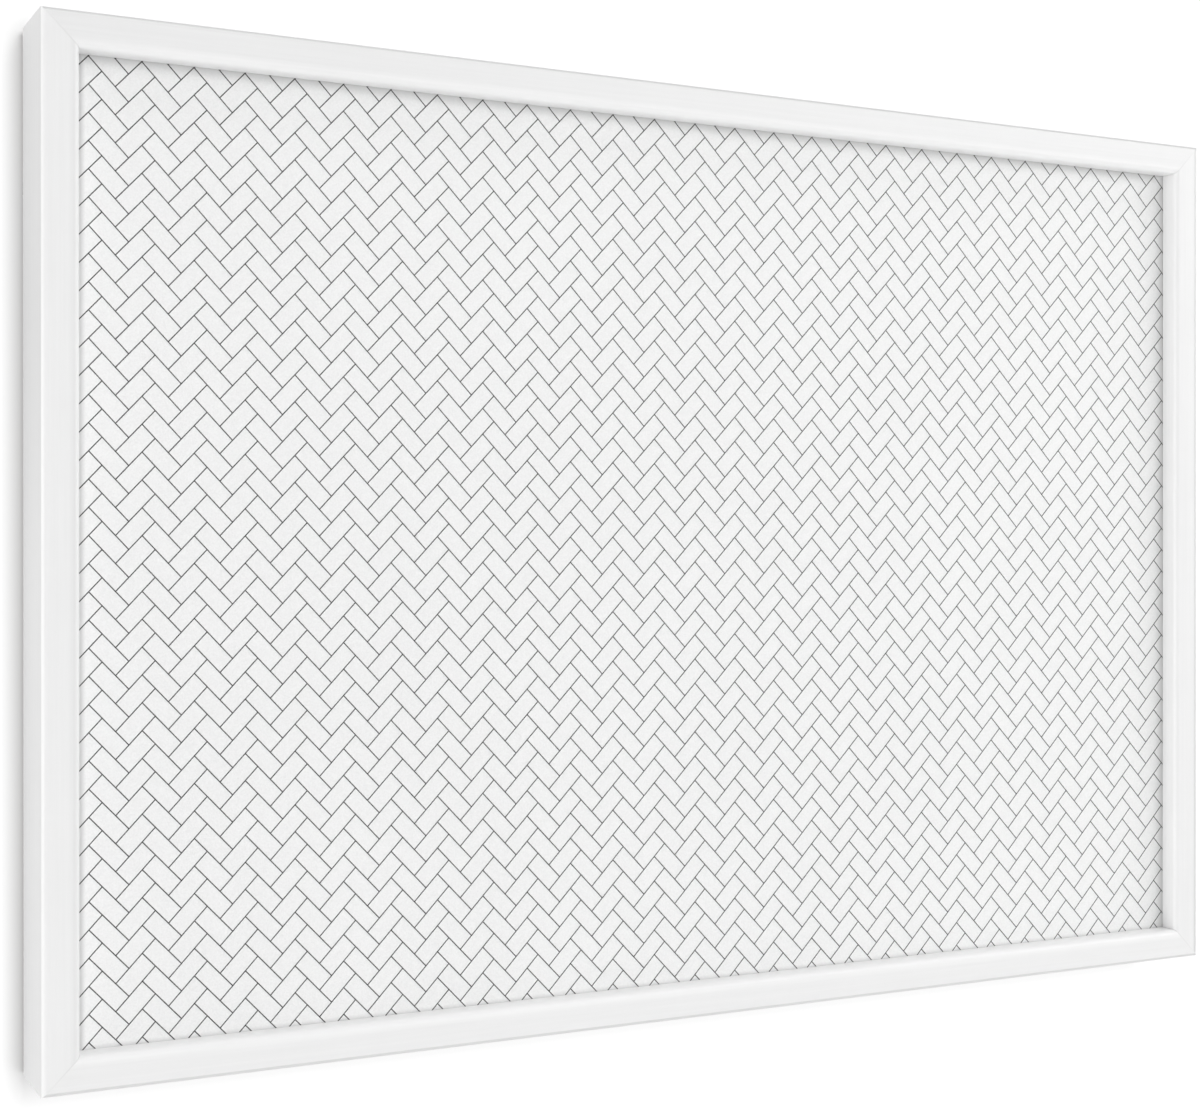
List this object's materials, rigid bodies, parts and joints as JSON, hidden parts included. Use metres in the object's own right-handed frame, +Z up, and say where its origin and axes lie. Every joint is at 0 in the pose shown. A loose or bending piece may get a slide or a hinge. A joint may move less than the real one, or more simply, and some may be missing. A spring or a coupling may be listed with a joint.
{
  "type": "framed magnetic board",
  "caption": "Deep white mitred wooden frame round a printed herringbone steel panel that takes magnets, with a boarded back held by turn buttons and hung on two D-rings.",
  "frame": {"origin": "centre of the overall box, from the front of the rails to the wall", "axes": "+X to the right seen from the front, along the long side; +Y away from the viewer, into the wall; +Z up"},
  "size_m": [0.7, 0.05, 0.5],
  "materials": {
    "white_paint": "white satin paint on fine wood, brushed along each rail",
    "white_print": "matt white film printed with fine grey herringbone lines",
    "zinc_sheet": "galvanised sheet",
    "fibreboard": "raw medium density fibreboard",
    "softwood": "planed pine",
    "hardboard": "smooth brown hardboard",
    "zinc_plate": "bright zinc plate",
    "bright_steel": "bright drawn steel",
    "soft_rubber": "pale grey soft polyurethane"
  },
  "bodies": {
    "frame": {"rail_top": "white_paint", "rail_bottom": "white_paint", "rail_left": "white_paint", "rail_right": "white_paint", "printed_film": "white_print", "steel_sheet": "zinc_sheet", "core_board": "fibreboard", "back_board": "hardboard", "spacer_top": "softwood", "spacer_bottom": "softwood", "spacer_left": "softwood", "spacer_right": "softwood", "v_nail_top_left": "bright_steel", "v_nail_top_right": "bright_steel", "v_nail_bottom_left": "bright_steel", "v_nail_bottom_right": "bright_steel", "button_screw_top_left": "bright_steel", "button_screw_top_right": "bright_steel", "button_screw_bottom_left": "bright_steel", "button_screw_bottom_right": "bright_steel", "button_screw_left_upper": "bright_steel", "button_screw_left_lower": "bright_steel", "button_screw_right_upper": "bright_steel", "button_screw_right_lower": "bright_steel", "hanger_strap_left": "zinc_plate", "hanger_strap_right": "zinc_plate", "strap_screw_left_upper": "bright_steel", "strap_screw_left_lower": "bright_steel", "strap_screw_right_upper": "bright_steel", "strap_screw_right_lower": "bright_steel", "wall_bumper_top_left": "soft_rubber", "wall_bumper_top_right": "soft_rubber", "wall_bumper_bottom_left": "soft_rubber", "wall_bumper_bottom_right": "soft_rubber"},
    "button_top_left": {"turn_button_top_left": "zinc_plate"},
    "button_top_right": {"turn_button_top_right": "zinc_plate"},
    "button_bottom_left": {"turn_button_bottom_left": "zinc_plate"},
    "button_bottom_right": {"turn_button_bottom_right": "zinc_plate"},
    "button_left_upper": {"turn_button_left_upper": "zinc_plate"},
    "button_left_lower": {"turn_button_left_lower": "zinc_plate"},
    "button_right_upper": {"turn_button_right_upper": "zinc_plate"},
    "button_right_lower": {"turn_button_right_lower": "zinc_plate"},
    "ring_left": {"d_ring_left": "bright_steel"},
    "ring_right": {"d_ring_right": "bright_steel"}
  },
  "joints": [
    {"name": "turn_top_left", "type": "hinge", "parent": "frame", "child": "button_top_left", "pos_m": [-0.2, 0.0208, 0.24375], "axis": [0, 1, 0], "range_deg": [-90, 90]},
    {"name": "turn_top_right", "type": "hinge", "parent": "frame", "child": "button_top_right", "pos_m": [0.2, 0.0208, 0.24375], "axis": [0, 1, 0], "range_deg": [-90, 90]},
    {"name": "turn_bottom_left", "type": "hinge", "parent": "frame", "child": "button_bottom_left", "pos_m": [-0.2, 0.0208, -0.24375], "axis": [0, 1, 0], "range_deg": [-90, 90]},
    {"name": "turn_bottom_right", "type": "hinge", "parent": "frame", "child": "button_bottom_right", "pos_m": [0.2, 0.0208, -0.24375], "axis": [0, 1, 0], "range_deg": [-90, 90]},
    {"name": "turn_left_upper", "type": "hinge", "parent": "frame", "child": "button_left_upper", "pos_m": [-0.34375, 0.0208, 0.08], "axis": [0, 1, 0], "range_deg": [-90, 90]},
    {"name": "turn_left_lower", "type": "hinge", "parent": "frame", "child": "button_left_lower", "pos_m": [-0.34375, 0.0208, -0.08], "axis": [0, 1, 0], "range_deg": [-90, 90]},
    {"name": "turn_right_upper", "type": "hinge", "parent": "frame", "child": "button_right_upper", "pos_m": [0.34375, 0.0208, 0.08], "axis": [0, 1, 0], "range_deg": [-90, 90]},
    {"name": "turn_right_lower", "type": "hinge", "parent": "frame", "child": "button_right_lower", "pos_m": [0.34375, 0.0208, -0.08], "axis": [0, 1, 0], "range_deg": [-90, 90]},
    {"name": "swing_left", "type": "hinge", "parent": "frame", "child": "ring_left", "pos_m": [-0.3435, 0.02216, 0.17], "axis": [-1, 0, 0], "range_deg": [0, 180]},
    {"name": "swing_right", "type": "hinge", "parent": "frame", "child": "ring_right", "pos_m": [0.3435, 0.02216, 0.17], "axis": [-1, 0, 0], "range_deg": [0, 180]}
  ]
}
